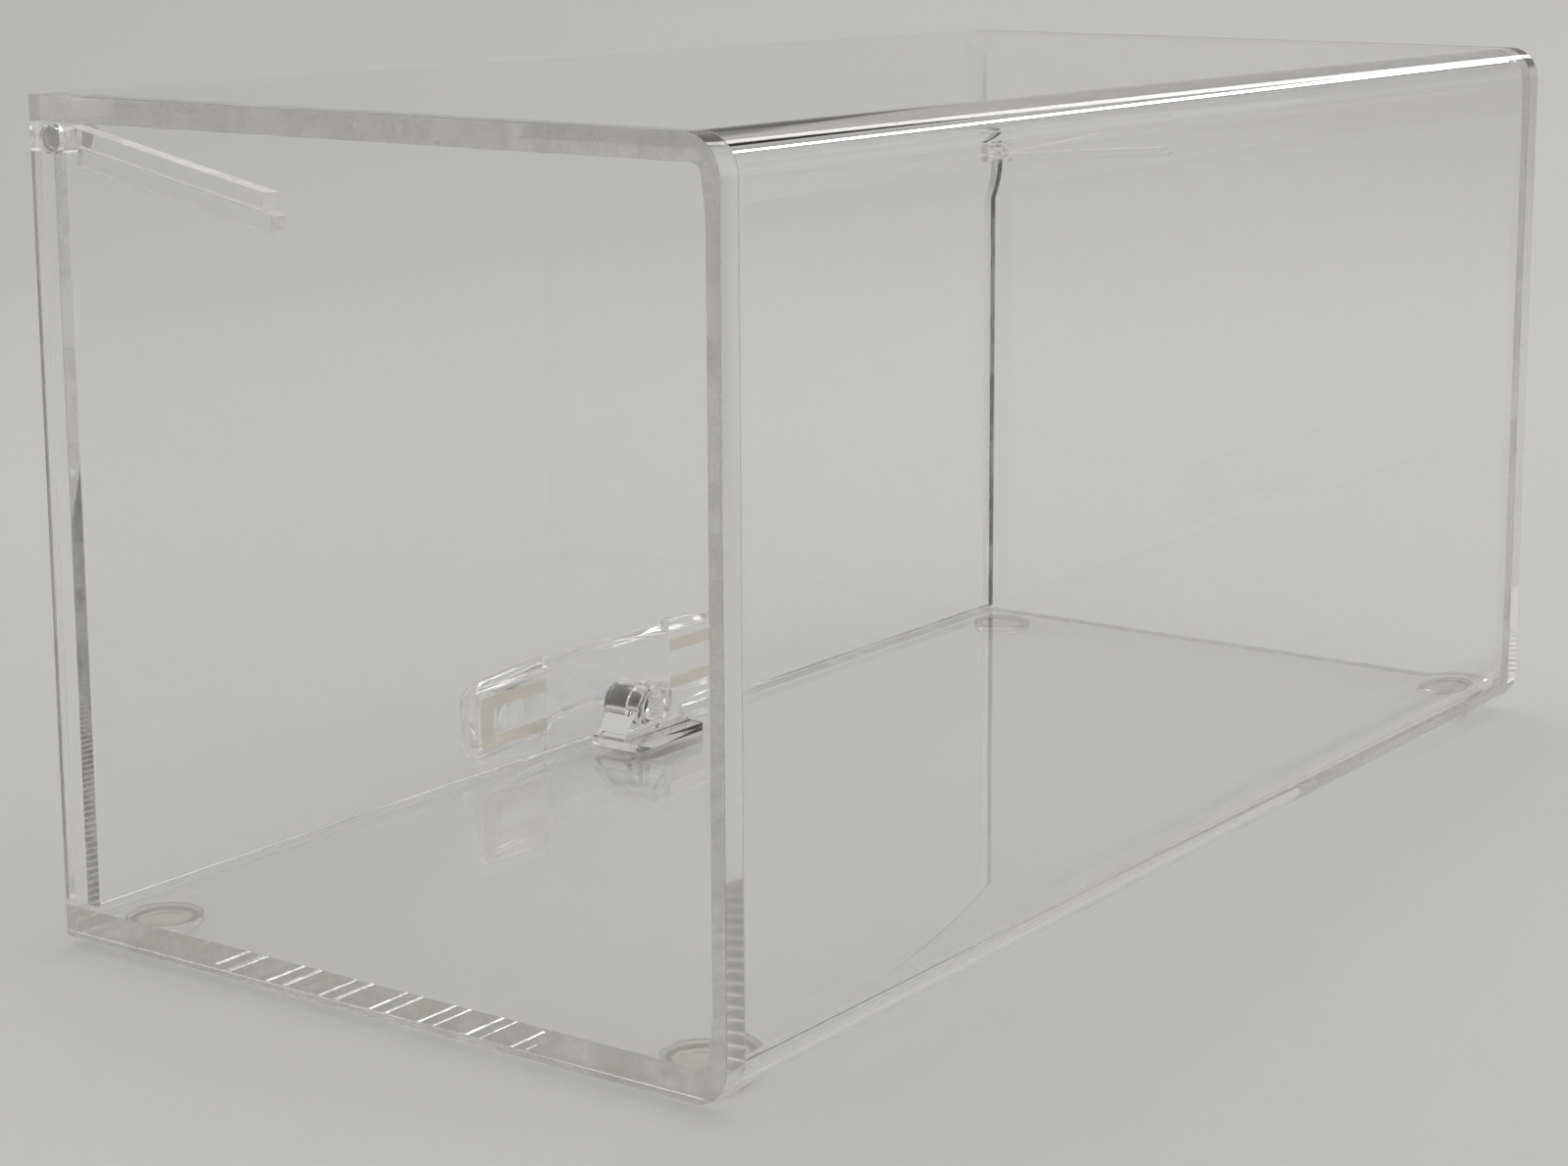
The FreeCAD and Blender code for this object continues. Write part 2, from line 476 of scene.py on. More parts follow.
# Seen along the whole sheet, a sawn edge catches the room and goes whitish; this copy of the sawn edge is
# painted whiter and denser, a painted highlight over the edge's own matt colour.
PALE_EDGE_PAINTED_HIGHLIGHT = SawnEdge("acrylic edge, sawn pale", light="#FFFFFF", dark="#F3EEE9", cover=0.65, weld_cover=0.65)
# Sliced strips have bright frosted edges that outline them.
SAWN_STRIP = SawnEdge("acrylic strip, sawn", light="#FFFFFF", dark="#E4E2DF", cover=0.45, weld_cover=0.45)
# A polished edge at the far end mirrors the dark side of a room; this plain black is a painted reflection
# that stands for that mirror.
DARK_EDGE_PAINTED_REFLECTION = SawnEdge(
    "acrylic edge, polished", light="#1A1A19", dark="#0C0C0C", cover=1.0, weld_cover=1.0, step_mm=3.0
)
# Pressed tape shows tan through the handle, paler where air is trapped; bubbles are drawn 0.9 mm apart.
TAPE = AdhesiveFilm("acrylic adhesive tape, pressed")
# A clear pad only greys the floor under the bracket.
CLEAR_TAPE = AdhesiveFilm("clear adhesive pad, pressed", colour="#CFCBC2", bubble="#E4E1DA", cover=0.35)
# Bright nickel mirrors the room in dark and light bands inside the barrel; the colour here is darker than
# nickel's own, a painted shade for the dark inside of the barrel.
NICKEL_PAINTED_SHADE = PlatedMetal("neodymium magnet, nickel plated", colour="#7A7874", roughness=0.12)
# Zinc plate is bluer and duller than nickel.
ZINC = PlatedMetal("steel disc, zinc plated", colour="#9FA1A4", roughness=0.3)
# Dull emulsion gives no glint, only a faint cloudiness.
SWEEP = PaintedSweep("studio sweep, painted")


# ---- meshes -------------------------------------------------------------------------------------


def rounded(corners: Sequence[Corner], step: float = 4.0) -> Outline:
    """Round the corners of a polygon with arcs.

    Args:
        corners: Position and radius of each corner, in order.
        step: Degrees between the points of an arc.

    Returns:
        The outline's points.
    """
    points: Outline = []
    for index, (u, v, radius) in enumerate(corners):
        if radius <= 0:
            points.append((u, v))
            continue
        here = Vector((u, v))
        before = (Vector(corners[index - 1][:2]) - here).normalized()
        after = (Vector(corners[(index + 1) % len(corners)][:2]) - here).normalized()
        half = before.angle(after) / 2
        centre = here + (before + after).normalized() * (radius / math.sin(half))
        start = here + before * (radius / math.tan(half)) - centre
        end = here + after * (radius / math.tan(half)) - centre
        turn = math.atan2(start.x * end.y - start.y * end.x, start.dot(end))
        count = max(2, round(abs(math.degrees(turn)) / step))
        for k in range(count + 1):
            spoke = Matrix.Rotation(turn * k / count, 2) @ start
            points.append(tuple(centre + spoke))
    return points


def spread(axis: Axis, u: float, v: float, w: float) -> Vector:
    """Put a profile's point and its place along the axis into the frame.

    Args:
        axis: The sweep's axis.
        u: First of the two other coordinates.
        v: Second of them.
        w: Place along the axis.

    Returns:
        The point.
    """
    values = [u, v]
    values.insert(axis.value, w)
    return Vector(values)


def to_mesh(solid: bmesh.types.BMesh, name: str) -> bpy.types.Mesh:
    """Turn a working solid into a mesh with its faces turned outward.

    Args:
        solid: The working solid, which is freed.
        name: The mesh's name.

    Returns:
        The mesh.
    """
    bmesh.ops.recalc_face_normals(solid, faces=solid.faces)
    mesh = bpy.data.meshes.new(name)
    solid.to_mesh(mesh)
    solid.free()
    return mesh


def prism(name: str, outline: Outline, axis: Axis, start: float, end: float) -> bpy.types.Mesh:
    """Sweep an outline straight along an axis.

    Args:
        name: The mesh's name.
        outline: Points in the two other coordinates.
        axis: The sweep's axis.
        start: Where it begins.
        end: Where it ends.

    Returns:
        A closed mesh.
    """
    solid = bmesh.new()
    rings = [[solid.verts.new(spread(axis, u, v, w)) for u, v in outline] for w in (start, end)]
    for ring in rings:
        solid.faces.new(ring)
    for k in range(len(outline)):
        after = (k + 1) % len(outline)
        solid.faces.new((rings[0][k], rings[0][after], rings[1][after], rings[1][k]))
    return to_mesh(solid, name)


def turned(
    name: str, profile: Outline, axis: Axis, centre: Sequence[float], steps: int = 72
) -> bpy.types.Mesh:
    """Turn a profile about an axis, as on a lathe.

    Args:
        name: The mesh's name.
        profile: Points as (place along the axis, radius), from axis to axis.
        axis: The direction of the axis.
        centre: The axis's two other coordinates.
        steps: Facets around.

    Returns:
        A closed mesh.
    """
    solid = bmesh.new()
    rings = []
    for along, radius in profile:
        count = steps if radius > 0 else 1
        rings.append(
            [
                solid.verts.new(
                    spread(
                        axis,
                        centre[0] + radius * math.cos(math.tau * k / steps),
                        centre[1] + radius * math.sin(math.tau * k / steps),
                        along,
                    )
                )
                for k in range(count)
            ]
        )
    for low, high in zip(rings, rings[1:]):
        for k in range(steps):
            after = (k + 1) % steps
            corners = [low[k % len(low)], low[after % len(low)], high[after % len(high)], high[k % len(high)]]
            solid.faces.new(list(dict.fromkeys(corners)))
    return to_mesh(solid, name)


def joined(base: bpy.types.Mesh, other: bpy.types.Mesh, how: Join) -> bpy.types.Mesh:
    """Join a solid to another or cut it by it.

    Args:
        base: The solid that is kept or cut.
        other: The solid that is joined on or cut away.
        how: Which of the two.

    Returns:
        The new mesh.
    """
    kept = bpy.data.objects.new("kept", base)
    tool = bpy.data.objects.new("tool", other)
    for piece in (kept, tool):
        bpy.context.scene.collection.objects.link(piece)
    modifier = kept.modifiers.new("join", "BOOLEAN")
    modifier.operation = how.value
    modifier.object = tool
    modifier.solver = "EXACT"
    depsgraph = bpy.context.evaluated_depsgraph_get()
    mesh = bpy.data.meshes.new_from_object(kept.evaluated_get(depsgraph))
    for piece in (kept, tool):
        bpy.data.objects.remove(piece)
    return mesh


def edge_round(radius: float, start: float, turn: float, along: float, out: float, steps: int = 5) -> Outline:
    """Return the points of a rounded rim in a lathe profile.

    Args:
        radius: The rim's radius.
        start: Angle of the first point, degrees from the axis direction.
        turn: Degrees the rim turns through.
        along: Place of the rim's centre along the axis.
        out: The centre's distance from the axis.
        steps: Chords in the rim.

    Returns:
        Profile points.
    """
    angles = [math.radians(start + turn * k / steps) for k in range(steps + 1)]
    return [(along + radius * math.cos(a), out + radius * math.sin(a)) for a in angles]


def rise(x: float, reach: float, height: float) -> float:
    """Height of a circular arc over its chord.

    Args:
        x: Distance from the chord's middle.
        reach: Half the chord.
        height: The arc's height at the middle.

    Returns:
        The height at x.
    """
    radius = (reach * reach + height * height) / (2 * height)
    return math.sqrt(max(radius * radius - x * x, 0.0)) - (radius - height)


@dataclass
class Piece:
    """One finished piece: its mesh, its finishes, and what it stands for."""

    node: str
    body: str
    slot: str
    finishes: tuple[Finish, ...]
    edge: float = 0.2 * MM
    edge_steps: int = 2

    def show(
        self, mesh: bpy.types.Mesh, finish_of: Callable[[Vector, Vector], int] | None = None
    ) -> bpy.types.Object:
        """Dress a mesh and put it on its body in place of its node.

        Args:
            mesh: The piece's mesh, in the frame.
            finish_of: Gives the finish's place from a face's normal and centre.

        Returns:
            The new object.
        """
        name = f"{self.node}.shown"
        mesh.name = name
        mesh.materials.clear()
        for finish in self.finishes:
            mesh.materials.append(finish.material())
        for face in mesh.polygons:
            face.material_index = finish_of(face.normal, face.center) if finish_of else 0
        mesh.shade_smooth()
        mesh.set_sharp_from_angle(angle=math.radians(25))
        piece = bpy.data.objects.new(name, mesh)
        bpy.context.scene.collection.objects.link(piece)
        if self.edge > 0:
            bevel = piece.modifiers.new("broken edge", "BEVEL")
            bevel.width = self.edge
            bevel.segments = self.edge_steps
            bevel.limit_method = "ANGLE"
            bevel.angle_limit = math.radians(25)
            bevel.use_clamp_overlap = True
            bevel.miter_outer = "MITER_ARC"
            normals = piece.modifiers.new("flat faces stay flat", "WEIGHTED_NORMAL")
            normals.weight = 100
            normals.keep_sharp = False
        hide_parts(self.node)
        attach(piece, self.body)
        LOG.info("%s: %d faces on %s", name, len(mesh.polygons), self.body)
        return piece


def sheet_thickness() -> float:
    """Thickness of the wrap and the end panels."""
    low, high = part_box("right_end_panel")
    return high.x - low.x


# ---- the case -----------------------------------------------------------------------------------


@dataclass
class BentWrap:
    """One sheet bent over a hot wire into top, back and floor."""

    inner_bend: float = 2.0 * MM
    glue: float = 0.04 * MM
    swell: float = 0.8 * MM
    swell_length: float = 9.0 * MM
    swell_steps: int = 8

    def swollen(self, wall: float, bend: float, turn: int) -> list[Corner]:
        """Points of the back wall's inner face where the hot sheet swelled next to a bend.

        Args:
            wall: The inner face's place.
            bend: Height at which the bend's curve meets the wall.
            turn: 1 above the wall's middle, -1 below it.

        Returns:
            Outline corners from the flat wall towards the bend.
        """
        corners: list[Corner] = []
        for k in range(self.swell_steps + 1):
            share = k / self.swell_steps
            height = bend - turn * self.swell_length * (1 - share)
            corners.append((wall - self.swell * share * share, height, 0))
        return corners

    def build(self) -> None:
        """Build the sheet: polished faces, and sawn ends where the panels are glued on."""
        low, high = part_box("wrap_shell")
        sheet = sheet_thickness()
        outer = self.inner_bend + sheet
        outline = rounded(
            [
                (low.y, low.z, 0),
                (high.y, low.z, outer),
                (high.y, high.z, outer),
                (low.y, high.z, 0),
                (low.y, high.z - sheet, 0),
                (high.y - sheet - self.swell, high.z - sheet, self.inner_bend),
                *reversed(self.swollen(high.y - sheet, high.z - sheet - self.inner_bend, 1)),
                *self.swollen(high.y - sheet, low.z + sheet + self.inner_bend, -1),
                (high.y - sheet - self.swell, low.z + sheet, self.inner_bend),
                (low.y, low.z + sheet, 0),
            ],
            step=3.0,
        )
        mesh = prism("wrap", outline, Axis.X, low.x + self.glue, high.x - self.glue)
        piece = Piece("wrap_shell", "case", "clear_acrylic", (SHEET, SAWN, PALE_EDGE_PAINTED_HIGHLIGHT))
        # The wrap's far end takes the sawn edge painted whiter, a painted highlight; the near end keeps the
        # plain sawn edge.
        piece.show(mesh, lambda normal, _: 2 if normal.x < -0.9 else int(normal.x > 0.9))


@dataclass
class EndPanel:
    """A flat panel glued over one end of the wrap, drilled part way for a pivot pin."""

    hand: Hand
    outer_bend: float = 6.8 * MM
    pin_fit: float = 0.08 * MM
    pin_end_gap: float = 0.2 * MM
    rim: float = 0.01 * MM

    def build(self) -> None:
        """Build the panel with its blind hole."""
        node = f"{self.hand.word}_end_panel"
        low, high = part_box(node)
        outline = rounded(
            [
                (low.y, low.z, 0),
                (high.y, low.z, self.outer_bend),
                (high.y, high.z, self.outer_bend),
                (low.y, high.z, 0),
            ],
            step=3.0,
        )
        mesh = prism(node, outline, Axis.X, low.x, high.x)
        pin_low, pin_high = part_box(f"{self.hand.word}_pivot_pin")
        middle = (pin_low + pin_high) / 2
        radius = (pin_high.z - pin_low.z) / 2 + self.pin_fit
        if self.hand is Hand.RIGHT:
            start, end = low.x - sheet_thickness(), pin_high.x + self.pin_end_gap
        else:
            start, end = pin_low.x - self.pin_end_gap, high.x + sheet_thickness()
        drill = turned(
            "drill", [(start, 0), (start, radius), (end, radius), (end, 0)], Axis.X, (middle.y, middle.z)
        )
        piece = Piece(node, "case", "clear_acrylic", (SHEET, GROUND_RIM))
        front, back = low.y + self.rim, high.y - self.outer_bend

        def finish_of(normal: Vector, centre: Vector) -> int:
            """Return 1 for the panel's rim and 0 for its faces and the hole."""
            inside = front < centre.y < back and low.z + self.rim < centre.z < high.z - self.rim
            return int(abs(normal.x) < 0.5 and not inside)

        piece.show(joined(mesh, drill, Join.CUT), finish_of)


@dataclass
class Rail:
    """A square strip sliced from thin sheet and glued to an end panel on a slope."""

    hand: Hand
    row: Row
    slope: float = math.radians(11.0)
    height: float = 3.4 * MM
    glue: float = 0.04 * MM

    def build(self) -> None:
        """Build the strip from its node's box, which its four corners touch."""
        node = f"{self.hand.word}_{self.row.word}_rail"
        low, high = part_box(node)
        along = Vector((math.cos(self.slope), -math.sin(self.slope)))
        down = Vector((-math.sin(self.slope), -math.cos(self.slope)))
        height = self.height - 2 * self.glue
        top = Vector((low.y - down.x * self.height, high.z)) + down * self.glue
        length = (high.y - low.y + down.x * self.height) / along.x
        corners = [top, top + along * length, top + along * length + down * height, top + down * height]
        start, end = low.x, high.x
        if self.hand is Hand.RIGHT:
            end -= self.glue
        else:
            start += self.glue
        mesh = prism(node, [tuple(corner) for corner in corners], Axis.X, start, end)
        piece = Piece(node, "case", "clear_acrylic", (SHEET, SAWN_STRIP))
        piece.show(mesh, lambda normal, _: int(abs(normal.x) < 0.5))


@dataclass
class Foot:
    """A clear cast bumper stuck under one corner."""

    node: str
    rim: float = 0.9 * MM
    crown: float = 0.25 * MM
    crown_share: float = 0.45
    tread_share: float = 0.7
    glue: float = 0.03 * MM

    def build(self) -> None:
        """Build the low disc with its rounded rim, a little hollow under the middle."""
        low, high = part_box(self.node)
        centre = (low + high) / 2
        radius = (high.x - low.x) / 2
        crown = low.z + self.crown
        profile = [(crown, 0.0), (crown, radius * self.crown_share), (low.z, radius * self.tread_share)]
        profile += edge_round(self.rim, 180, -90, low.z + self.rim, radius - self.rim, steps=8)
        profile += [(high.z - self.glue, radius), (high.z - self.glue, 0.0)]
        mesh = turned(self.node, profile, Axis.Z, (centre.x, centre.y))
        Piece(self.node, "case", "clear_bumper", (BUMPER,), edge=0.1 * MM).show(mesh)


# ---- the door -----------------------------------------------------------------------------------


@dataclass
class DropDoor:
    """The thin door, notched at its top corners, with the pins it turns on."""

    notch: float = 7.0 * MM
    glue: float = 0.04 * MM
    pin_chamfer: float = 0.4 * MM

    def build(self) -> None:
        """Build the panel and both pins."""
        low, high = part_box("door_panel")
        pin_low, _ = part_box("right_pivot_pin")
        floor = pin_low.z - self.glue
        inner = high.x - self.notch
        outline = rounded(
            [
                (low.x, low.z, 0),
                (high.x, low.z, 0),
                (high.x, floor, 0),
                (inner, floor, 0),
                (inner, high.z, 0),
                (-inner, high.z, 0),
                (-inner, floor, 0),
                (low.x, floor, 0),
            ]
        )
        mesh = prism("door_panel", outline, Axis.Y, low.y, high.y)
        piece = Piece("door_panel", "door", "clear_acrylic", (SHEET, PALE_EDGE_PAINTED_HIGHLIGHT, DARK_EDGE_PAINTED_REFLECTION))
        # The door's far end takes the painted black reflection; its other edges take the sawn edge painted
        # whiter, a painted highlight.
        dark = low.x + self.notch / 2
        piece.show(mesh, lambda normal, centre: 2 if centre.x < dark else int(abs(normal.x) > 0.5))
        for hand in Hand:
            self.pin(hand)

    def pin(self, hand: Hand) -> None:
        """Build one pin, chamfered at its tip.

        Args:
            hand: The end of the box that it enters.
        """
        node = f"{hand.word}_pivot_pin"
        low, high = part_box(node)
        centre = (low + high) / 2
        radius = (high.z - low.z) / 2
        root, tip = (low.x + self.glue, high.x) if hand is Hand.RIGHT else (high.x - self.glue, low.x)
        shoulder = tip - hand.value * self.pin_chamfer
        point = radius - self.pin_chamfer
        profile = [(root, 0.0), (root, radius), (shoulder, radius), (tip, point), (tip, 0.0)]
        mesh = turned(node, profile, Axis.X, (centre.y, centre.z))
        piece = Piece(node, "door", "clear_acrylic", (MOULDED, PALE_EDGE_PAINTED_HIGHLIGHT), edge=0.08 * MM)
        # The pin's tip face takes the sawn edge painted whiter, a painted highlight.
        piece.show(mesh, lambda normal, _: int(hand.value * normal.x < -0.9))


@dataclass
class BowHandle:
    """A moulded bow handle and the tape under its pads."""

    pad: float = 23.0 * MM
    end_thickness: float = 5.0 * MM
    bar: float = 4.4 * MM
    end_height: float = 17.5 * MM
    bow_height: float = 16.0 * MM
    crown_height: float = 14.0 * MM
    flange: float = 2.2 * MM
    end_round: float = 4.0 * MM
    back_round: float = 2.0 * MM
    front_round: float = 2.6 * MM
    edge_round: float = 3.4 * MM
    small_round: float = 0.5 * MM
    spans: int = 64
    pad_spans: int = 16
    corner_spans: int = 14
    strip: float = 2.8 * MM
    web: float = 3.4 * MM
    tape_corner: float = 0.5 * MM
    glue: float = 0.03 * MM

    def build(self) -> None:
        """Build the bow and both tapes."""
        self.bow()
        for hand in Hand:
            self.tape(hand)

    def stations(self, half: float) -> list[tuple[float, bool]]:
        """Places along the length where a cross-section stands, and whether it is on a pad.

        Args:
            half: Half the handle's length.

        Returns:
            The places from left to right; the pads' inner ends have two sections each.
        """
        gap = half - self.pad
        outer = half - self.end_round
        bow = [(gap * (2 * k / self.spans - 1), False) for k in range(self.spans + 1)]
        pad = [gap + (outer - gap) * k / self.pad_spans for k in range(self.pad_spans + 1)]
        turns = [math.radians(90 * k / self.corner_spans) for k in range(1, self.corner_spans + 1)]
        pad += [outer + self.end_round * math.sin(turn) for turn in turns]
        left = [(-place, True) for place in reversed(pad)]
        return left + bow + [(place, True) for place in pad]

    @staticmethod
    def drawn_in(past: float, radius: float) -> float:
        """How far a rounded corner has drawn in at a distance past its start."""
        past = min(max(past, 0.0), radius)
        return radius - math.sqrt(radius * radius - past * past)

    def section(self, x: float, on_pad: bool, low: Vector, high: Vector) -> Outline:
        """One cross-section of the bow, with the pad's flange where there is one.

        Args:
            x: Distance from the handle's middle.
            on_pad: Whether the section has a flange.
            low: The node's lowest corner.
            high: The node's highest corner.

        Returns:
            The section's points, across the depth and up, from the top back corner round the front.
        """
        half, depth = (high.x - low.x) / 2, high.y - low.y
        gap, out = half - self.pad, abs(x)
        corner = self.drawn_in(out - (half - self.end_round), self.end_round)
        reach = (self.bow_height - rise(x, half, self.bow_height - self.crown_height)) / 2 - corner
        front = high.y - self.end_thickness - rise(x, half, depth - self.end_thickness)
        front += self.drawn_in(out - (half - self.front_round), self.front_round)
        back = high.y - self.drawn_in(out - (half - self.back_round), self.back_round)
        if on_pad:
            taper = (out - gap) / self.pad
            wide = ((high.z - low.z) * (1 - taper) + self.end_height * taper) / 2 - corner
            step = max(back - self.flange, front + 0.3 * (back - front))
            lip = min(self.small_round, 0.45 * (back - step), 0.9 * (wide - reach))
            rim = lip
        else:
            wide, lip, rim = reach, 0.0, self.small_round
            back -= rise(x, gap, depth - self.bar)
            step = back - 1.2 * rim
        edge = min(self.edge_round, 0.8 * (step - front), 0.8 * reach)
        flange = [(back, wide, rim, 0), (step, wide, lip, 90)]
        upper = flange + [(step, reach, 0.0, 90), (front, reach, edge, 90)]
        lower = [(y, -z, radius, 270 - angle) for y, z, radius, angle in reversed(upper)]
        middle = (high.z + low.z) / 2
        points: Outline = []
        for y, z, radius, start in upper + lower:
            across = y + radius * (1 if 0 < start < 270 else -1)
            up = middle + z + radius * (1 if start > 90 else -1)
            angles = [math.radians(start + 15 * k) for k in range(7)]
            points += [(across + radius * math.cos(a), up + radius * math.sin(a)) for a in angles]
        return points

    def bow(self) -> None:
        """Loft the cross-sections from end to end."""
        low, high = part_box("door_handle")
        half, middle = (high.x - low.x) / 2, (high.x + low.x) / 2
        solid = bmesh.new()
        rings = []
        for x, on_pad in self.stations(half):
            section = self.section(x, on_pad, low, high)
            rings.append([solid.verts.new((middle + x, y, z)) for y, z in section])
        for before, after in zip(rings, rings[1:]):
            for k in range(len(before)):
                step = (k + 1) % len(before)
                solid.faces.new((before[k], before[step], after[step], after[k]))
        for ring in (rings[0], rings[-1]):
            solid.faces.new(ring)
        bmesh.ops.remove_doubles(solid, verts=solid.verts, dist=0.001 * MM)
        mesh = to_mesh(solid, "handle")
        Piece("door_handle", "door", "clear_acrylic", (MOULDED,), edge=0).show(mesh)

    def tape(self, hand: Hand) -> None:
        """Build one tape: two strips joined at the outer end.

        Args:
            hand: The end of the handle that it holds.
        """
        node = f"{hand.word}_handle_tape"
        low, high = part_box(node)
        inner, outer = (low.x, high.x) if hand is Hand.RIGHT else (high.x, low.x)
        web = outer - hand.value * self.web
        corner = self.tape_corner
        outline = rounded(
            [
                (inner, low.z, corner),
                (outer, low.z, corner),
                (outer, high.z, corner),
                (inner, high.z, corner),
                (inner, high.z - self.strip, corner),
                (web, high.z - self.strip, corner),
                (web, low.z + self.strip, corner),
                (inner, low.z + self.strip, corner),
            ],
            step=15.0,
        )
        mesh = prism(node, outline, Axis.Y, low.y + self.glue, high.y - self.glue)
        Piece(node, "door", "adhesive_tape", (TAPE,), edge=0.05 * MM).show(mesh)


# ---- the catch ----------------------------------------------------------------------------------


@dataclass
class MagneticCatch:
    """A moulded bracket with a magnet in its barrel, and the steel disc it holds."""

    barrel_radius: float = 5.8 * MM
    barrel_length: float = 8.5 * MM
    base_thickness: float = 1.8 * MM
    base_corner: float = 0.8 * MM
    counterbore_radius: float = 4.4 * MM
    counterbore_depth: float = 1.2 * MM
    through_radius: float = 2.8 * MM
    magnet_fit: float = 0.04 * MM
    rim: float = 0.3 * MM
    glue: float = 0.03 * MM

    def build(self) -> None:
        """Build bracket, magnet, strike disc and the adhesive pad."""
        self.bracket()
        self.magnet()
        self.strike()
        self.pad()

    def bracket(self) -> None:
        """Build leg and barrel as one outline, join the base plate on and bore it."""
        low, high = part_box("catch_bracket")
        magnet_low, magnet_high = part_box("catch_magnet")
        y0, y1 = low.y, low.y + self.barrel_length
        axis_z = high.z - self.barrel_radius
        bottom, shelf = low.z + self.glue, low.z + self.base_thickness
        half = (high.x - low.x) / 2
        fall = axis_z - shelf
        reach = math.hypot(half, fall)
        touch = math.atan2(half, -fall) - math.acos(self.barrel_radius / reach)
        arc_steps = 40
        outline: Outline = [(-half, bottom), (half, bottom), (half, shelf)]
        for k in range(arc_steps + 1):
            angle = touch - 2 * touch * k / arc_steps
            outline.append(
                (self.barrel_radius * math.sin(angle), axis_z + self.barrel_radius * math.cos(angle))
            )
        outline.append((-half, shelf))
        leg = prism("leg", outline, Axis.Y, y0, y1)
        plate_outline = rounded(
            [
                (-half, y1 - self.barrel_length / 2, 0),
                (half, y1 - self.barrel_length / 2, 0),
                (half, high.y, self.base_corner),
                (-half, high.y, self.base_corner),
            ],
            step=12.0,
        )
        plate = prism("plate", plate_outline, Axis.Z, bottom, shelf)
        body = joined(leg, plate, Join.UNION)
        wide = (magnet_high.x - magnet_low.x) / 2 + self.magnet_fit
        seat = magnet_high.y + self.glue
        counter = y1 - self.counterbore_depth
        bore = [
            (y0 - self.rim, 0.0),
            (y0 - self.rim, wide),
            (seat, wide),
            (seat, self.through_radius),
            (counter, self.through_radius),
            (counter, self.counterbore_radius),
            (y1 + self.rim, self.counterbore_radius),
            (y1 + self.rim, 0.0),
        ]
        cutter = turned("bore", bore, Axis.Y, (0.0, axis_z))
        mesh = joined(body, cutter, Join.CUT)
        Piece("catch_bracket", "case", "clear_acrylic", (MOULDED,), edge=0.15 * MM).show(mesh)

    def magnet(self) -> None:
        """Build the magnet, rounded at both rims."""
        low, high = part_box("catch_magnet")
        centre, radius = (low + high) / 2, (high.x - low.x) / 2
        profile = [(low.y, 0.0)]
        profile += edge_round(self.rim, 180, -90, low.y + self.rim, radius - self.rim)
        profile += edge_round(self.rim, 90, -90, high.y - self.rim, radius - self.rim)
        profile.append((high.y, 0.0))
        mesh = turned("magnet", profile, Axis.Y, (centre.x, centre.z))
        # The magnet's colour is painted darker than nickel's own, a painted shade.
        Piece("catch_magnet", "case", "nickel", (NICKEL_PAINTED_SHADE,), edge=0).show(mesh)

    def strike(self) -> None:
        """Build the strike disc, rounded at its free rim."""
        low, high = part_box("strike_disc")
        centre, radius = (low + high) / 2, (high.x - low.x) / 2
        profile = [(low.y + self.glue, 0.0), (low.y + self.glue, radius)]
        profile += edge_round(self.rim, 90, -90, high.y - self.rim, radius - self.rim)
        profile.append((high.y, 0.0))
        mesh = turned("strike", profile, Axis.Y, (centre.x, centre.z))
        Piece("strike_disc", "door", "zinc_steel", (ZINC,), edge=0).show(mesh)

    def pad(self) -> None:
        """Build the adhesive pad under the base plate."""
        low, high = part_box("catch_tape")
        corner = self.base_corner
        outline = rounded(
            [
                (low.x + corner, low.y, 0),
                (high.x - corner, low.y, 0),
                (high.x - corner, high.y, corner),
                (low.x + corner, high.y, corner),
            ],
            step=15.0,
        )
        mesh = prism("pad", outline, Axis.Z, low.z + self.glue, high.z - self.glue)
        Piece("catch_tape", "case", "adhesive_tape", (CLEAR_TAPE,), edge=0).show(mesh)


# ---- the studio ---------------------------------------------------------------------------------


@dataclass
class Softbox:
    """A square soft lamp that looks at a point."""

    name: str
    place: tuple[float, float, float]
    target: tuple[float, float, float]
    width: float
    height: float
    power: float
    colour: str = "#FFFFFF"

    def build(self) -> None:
        """Hang the lamp."""
        lamp = bpy.data.lights.new(self.name, "AREA")
        lamp.shape = "RECTANGLE"
        lamp.size, lamp.size_y = self.width, self.height
        lamp.energy = self.power
        lamp.color = linear(self.colour)[:3]
        stand = bpy.data.objects.new(self.name, lamp)
        stand.location = self.place
        aim = Vector(self.target) - Vector(self.place)
        stand.rotation_euler = aim.to_track_quat("-Z", "Y").to_euler()
        bpy.context.scene.collection.objects.link(stand)


